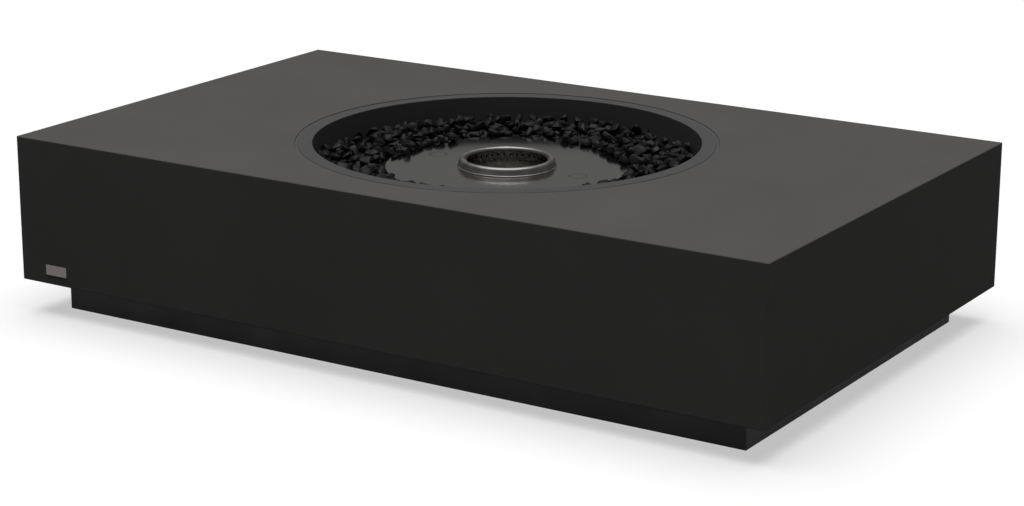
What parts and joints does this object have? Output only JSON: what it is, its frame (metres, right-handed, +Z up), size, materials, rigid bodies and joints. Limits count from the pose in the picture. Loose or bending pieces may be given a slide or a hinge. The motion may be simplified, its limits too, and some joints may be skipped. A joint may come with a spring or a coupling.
{
  "type": "outdoor fire table",
  "caption": "Low rectangular concrete fire table on a recessed black steel plinth, with a round liquid-fuel burner in a sunken tray of black glass chips.",
  "frame": {"origin": "on the floor at the centre of the table's footprint", "axes": "+X along the length, +Y from the badge side to the back, +Z up"},
  "size_m": [1.265, 0.7672, 0.276],
  "materials": {
    "concrete": "fine cast concrete, matt, sealed, faintly mottled",
    "badge_metal": "satin, bare",
    "zinc_steel": "zinc plated",
    "black_steel": "black powder coat, fine satin",
    "rubber": "matt black",
    "tray_steel": "dark heat-proof coat, satin",
    "heat_seal": "woven glass fibre tape",
    "satin_steel": "brushed stainless, satin",
    "ring_steel": "stainless, polished, slightly heat-tinted",
    "ceramic_wool": "soft white fibre",
    "black_glass": "opaque black tempered glass, glossy"
  },
  "bodies": {
    "table": {"concrete_shell": "concrete", "badge_plate": "badge_metal", "shell_inserts": "zinc_steel", "bearing_pads": "rubber", "plinth_front_rail": "black_steel", "plinth_back_rail": "black_steel", "plinth_left_rail": "black_steel", "plinth_right_rail": "black_steel", "corner_plates": "black_steel", "cross_bars": "black_steel", "foot_nuts": "zinc_steel", "shell_bolts": "zinc_steel", "bolt_washers": "zinc_steel"},
    "fire_tray": {"fire_tray": "tray_steel", "tray_seal": "heat_seal", "glass_bed": "black_glass", "glass_row_1": "black_glass", "glass_row_2": "black_glass", "glass_row_3": "black_glass", "glass_row_4": "black_glass", "glass_row_5": "black_glass"},
    "burner": {"burner_plate": "satin_steel", "mouth_ring": "ring_steel", "flame_sleeve": "satin_steel", "fuel_tank": "satin_steel", "burner_jacket": "satin_steel", "tank_spacers": "zinc_steel", "fuel_wool": "ceramic_wool", "wool_mesh": "satin_steel", "glass_on_plate": "black_glass"},
    "foot_front_left": {"foot_pad_front_left": "rubber", "foot_stud_front_left": "zinc_steel"},
    "foot_front_right": {"foot_pad_front_right": "rubber", "foot_stud_front_right": "zinc_steel"},
    "foot_back_left": {"foot_pad_back_left": "rubber", "foot_stud_back_left": "zinc_steel"},
    "foot_back_right": {"foot_pad_back_right": "rubber", "foot_stud_back_right": "zinc_steel"}
  },
  "joints": [
    {"name": "tray_lift", "type": "slide", "parent": "table", "child": "fire_tray", "axis": [0, 0, 1], "range_m": [0, 0.19]},
    {"name": "burner_lift", "type": "slide", "parent": "fire_tray", "child": "burner", "axis": [0, 0, 1], "range_m": [0, 0.19]},
    {"name": "foot_front_left_screw", "type": "slide", "parent": "table", "child": "foot_front_left", "axis": [0, 0, -1], "range_m": [0, 0.012]},
    {"name": "foot_front_right_screw", "type": "slide", "parent": "table", "child": "foot_front_right", "axis": [0, 0, -1], "range_m": [0, 0.012]},
    {"name": "foot_back_left_screw", "type": "slide", "parent": "table", "child": "foot_back_left", "axis": [0, 0, -1], "range_m": [0, 0.012]},
    {"name": "foot_back_right_screw", "type": "slide", "parent": "table", "child": "foot_back_right", "axis": [0, 0, -1], "range_m": [0, 0.012]}
  ]
}
